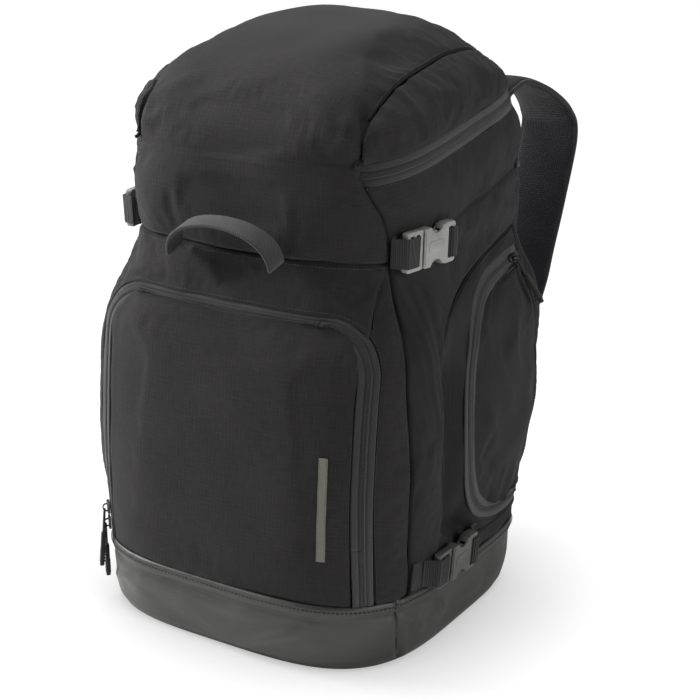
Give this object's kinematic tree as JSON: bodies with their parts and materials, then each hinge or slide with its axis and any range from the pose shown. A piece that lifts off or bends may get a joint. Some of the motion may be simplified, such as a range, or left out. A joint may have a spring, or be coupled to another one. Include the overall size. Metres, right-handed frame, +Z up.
{
  "type": "ski boot bag",
  "caption": "Backpack-style ski boot bag with a zipped hood, fold-down front pocket, side boot doors, compression buckles and shoulder straps.",
  "frame": {"origin": "centre of the base's flat underside, on the ground, midway across the width", "axes": "+X to the bag's right-hand side, +Y to the shoulder straps, +Z up"},
  "size_m": [0.3924, 0.4779, 0.5779],
  "materials": {
    "buckle": "light grey moulded plastic",
    "coated": "dark grey coated tarpaulin, soft sheen",
    "lining": "plain dark lining fabric",
    "mesh": "foam strap, black face and dark navy spacer mesh",
    "metal": "dark painted zipper hardware",
    "ripstop": "near-black fine ripstop weave, matt",
    "webbing": "black ribbed webbing",
    "zipper": "black woven tape with coil"
  },
  "bodies": {
    "pack_body": {"back_panel": "ripstop", "base_tub": "coated", "boot_liner_left": "lining", "boot_liner_right": "lining", "door_zipper_tape_body_left": "zipper", "door_zipper_tape_body_right": "zipper", "front_yoke": "ripstop", "hood_front_panel": "ripstop", "hood_zipper_tape_body": "zipper", "lower_buckle_socket_left": "buckle", "lower_buckle_socket_right": "buckle", "lower_strap_left": "webbing", "lower_strap_right": "webbing", "pocket_back_wall": "lining", "pocket_gusset_left": "ripstop", "pocket_gusset_right": "ripstop", "pocket_zipper_tape_body": "zipper", "side_collar_left": "ripstop", "side_collar_right": "ripstop", "side_panel_left": "ripstop", "side_panel_right": "ripstop", "strap_yoke_left": "webbing", "strap_yoke_right": "webbing", "upper_buckle_socket_left": "buckle", "upper_buckle_socket_right": "buckle", "upper_strap_left": "webbing", "upper_strap_right": "webbing"},
    "hood": {"hood_top_panel": "ripstop", "hood_side_right": "ripstop", "hood_side_left": "ripstop", "hood_zipper_tape_hood": "zipper"},
    "pocket_flap": {"pocket_flap": "ripstop", "pocket_zipper_tape_flap": "zipper"},
    "boot_door_right": {"boot_door_right": "ripstop", "door_zipper_tape_door_right": "zipper"},
    "boot_door_left": {"boot_door_left": "ripstop", "door_zipper_tape_door_left": "zipper"},
    "front_handle": {"front_handle": "webbing"},
    "shoulder_strap_right": {"shoulder_strap_right": "mesh", "strap_adjuster_right": "buckle", "strap_webbing_right": "webbing"},
    "shoulder_strap_left": {"shoulder_strap_left": "mesh", "strap_adjuster_left": "buckle", "strap_webbing_left": "webbing"},
    "door_slider_right": {"door_slider_right": "metal"},
    "door_pull_right": {"door_pull_right": "webbing"},
    "door_slider_left": {"door_slider_left": "metal"},
    "door_pull_left": {"door_pull_left": "webbing"},
    "hood_slider_front": {"hood_slider_front": "metal"},
    "hood_pull_front": {"hood_pull_front": "webbing"},
    "hood_slider_rear": {"hood_slider_rear": "metal"},
    "hood_pull_rear": {"hood_pull_rear": "webbing"},
    "pocket_slider_lower": {"pocket_slider_lower": "metal"},
    "pocket_pull_lower": {"pocket_pull_lower": "webbing"},
    "pocket_slider_upper": {"pocket_slider_upper": "metal"},
    "pocket_pull_upper": {"pocket_pull_upper": "webbing"},
    "upper_buckle_plug_right": {"upper_buckle_plug_right": "buckle"},
    "upper_buckle_plug_left": {"upper_buckle_plug_left": "buckle"},
    "lower_buckle_plug_right": {"lower_buckle_plug_right": "buckle"},
    "lower_buckle_plug_left": {"lower_buckle_plug_left": "buckle"}
  },
  "joints": [
    {"name": "hood_opening", "type": "hinge", "parent": "pack_body", "child": "hood", "pos_m": [0, -0.1596, 0.46146], "axis": [1, 0, 0], "range_deg": [0, 100]},
    {"name": "pocket_flap_opening", "type": "hinge", "parent": "pack_body", "child": "pocket_flap", "pos_m": [0, -0.19929, 0.068], "axis": [1, 0, 0], "range_deg": [0, 92]},
    {"name": "boot_door_right_opening", "type": "hinge", "parent": "pack_body", "child": "boot_door_right", "pos_m": [0.18452, 0.107, 0.2], "axis": [0, 0, 1], "range_deg": [0, 80]},
    {"name": "boot_door_left_opening", "type": "hinge", "parent": "pack_body", "child": "boot_door_left", "pos_m": [-0.18452, 0.107, 0.2], "axis": [0, 0, -1], "range_deg": [0, 80]},
    {"name": "door_slider_right_travel", "type": "slide", "parent": "boot_door_right", "child": "door_slider_right", "axis": [0.0778, -0.9939, -0.0779], "range_m": [0, 0.038]},
    {"name": "door_pull_right_swing", "type": "hinge", "parent": "door_slider_right", "child": "door_pull_right", "pos_m": [0.16975, 0.08461, 0.35005], "axis": [0.083, -0.9965, 0], "range_deg": [0, 70]},
    {"name": "door_slider_left_travel", "type": "slide", "parent": "boot_door_left", "child": "door_slider_left", "axis": [-0.0778, -0.9939, -0.0779], "range_m": [0, 0.038]},
    {"name": "door_pull_left_swing", "type": "hinge", "parent": "door_slider_left", "child": "door_pull_left", "pos_m": [-0.16975, 0.08461, 0.35005], "axis": [0.083, 0.9965, 0], "range_deg": [0, 70]},
    {"name": "hood_slider_front_travel", "type": "slide", "parent": "hood", "child": "hood_slider_front", "axis": [0.0016, -0.9889, -0.1483], "range_m": [0, 0.055]},
    {"name": "hood_pull_front_swing", "type": "hinge", "parent": "hood_slider_front", "child": "hood_pull_front", "pos_m": [-0.16083, -0.009, 0.48473], "axis": [0.012, 0.9889, 0.1483], "range_deg": [0, 70]},
    {"name": "hood_slider_rear_travel", "type": "slide", "parent": "hood", "child": "hood_slider_rear", "axis": [0.0276, 0.9885, 0.1485], "range_m": [0, 0.055]},
    {"name": "hood_pull_rear_swing", "type": "hinge", "parent": "hood_slider_rear", "child": "hood_pull_rear", "pos_m": [-0.1606, 0.00901, 0.48745], "axis": [0.013, 0.9889, 0.1483], "range_deg": [0, 70]},
    {"name": "pocket_slider_upper_travel", "type": "slide", "parent": "pack_body", "child": "pocket_slider_upper", "axis": [0.0014, -0.0556, 0.9985], "range_m": [0, 0.06]},
    {"name": "pocket_pull_upper_swing", "type": "hinge", "parent": "pocket_slider_upper", "child": "pocket_pull_upper", "pos_m": [-0.15194, -0.17378, 0.09871], "axis": [-0.7229, 0.6893, 0.0478], "range_deg": [0, 75]},
    {"name": "pocket_slider_lower_travel", "type": "slide", "parent": "pack_body", "child": "pocket_slider_lower", "axis": [0.0014, -0.0556, 0.9985], "range_m": [0, 0.06]},
    {"name": "pocket_pull_lower_swing", "type": "hinge", "parent": "pocket_slider_lower", "child": "pocket_pull_lower", "pos_m": [-0.15202, -0.17249, 0.0817], "axis": [-0.7085, 0.7037, 0.0532], "range_deg": [0, 75]},
    {"name": "upper_buckle_right_release", "type": "slide", "parent": "pack_body", "child": "upper_buckle_plug_right", "axis": [-0.1346, -0.9909, 0], "range_m": [0, 0.03]},
    {"name": "upper_buckle_left_release", "type": "slide", "parent": "pack_body", "child": "upper_buckle_plug_left", "axis": [0.1346, -0.9909, 0], "range_m": [0, 0.03]},
    {"name": "lower_buckle_right_release", "type": "slide", "parent": "pack_body", "child": "lower_buckle_plug_right", "axis": [-0.0292, -0.9996, 0], "range_m": [0, 0.03]},
    {"name": "lower_buckle_left_release", "type": "slide", "parent": "pack_body", "child": "lower_buckle_plug_left", "axis": [0.0292, -0.9996, 0], "range_m": [0, 0.03]},
    {"name": "front_handle_swing", "type": "hinge", "parent": "pack_body", "child": "front_handle", "pos_m": [0, -0.17352, 0.38138], "axis": [1, 0, 0], "range_deg": [-6, 90]},
    {"name": "shoulder_strap_right_swing", "type": "hinge", "parent": "pack_body", "child": "shoulder_strap_right", "pos_m": [0.085, 0.186, 0.484], "axis": [-0.0952, 0.116, 0.9887], "range_deg": [-12, 12]},
    {"name": "shoulder_strap_left_swing", "type": "hinge", "parent": "pack_body", "child": "shoulder_strap_left", "pos_m": [-0.085, 0.186, 0.484], "axis": [0.0952, 0.116, 0.9887], "range_deg": [-12, 12]}
  ],
  "couplings": [
    {"joint": "pocket_slider_lower_travel", "follows": "pocket_slider_upper_travel", "ratio": 1}
  ]
}
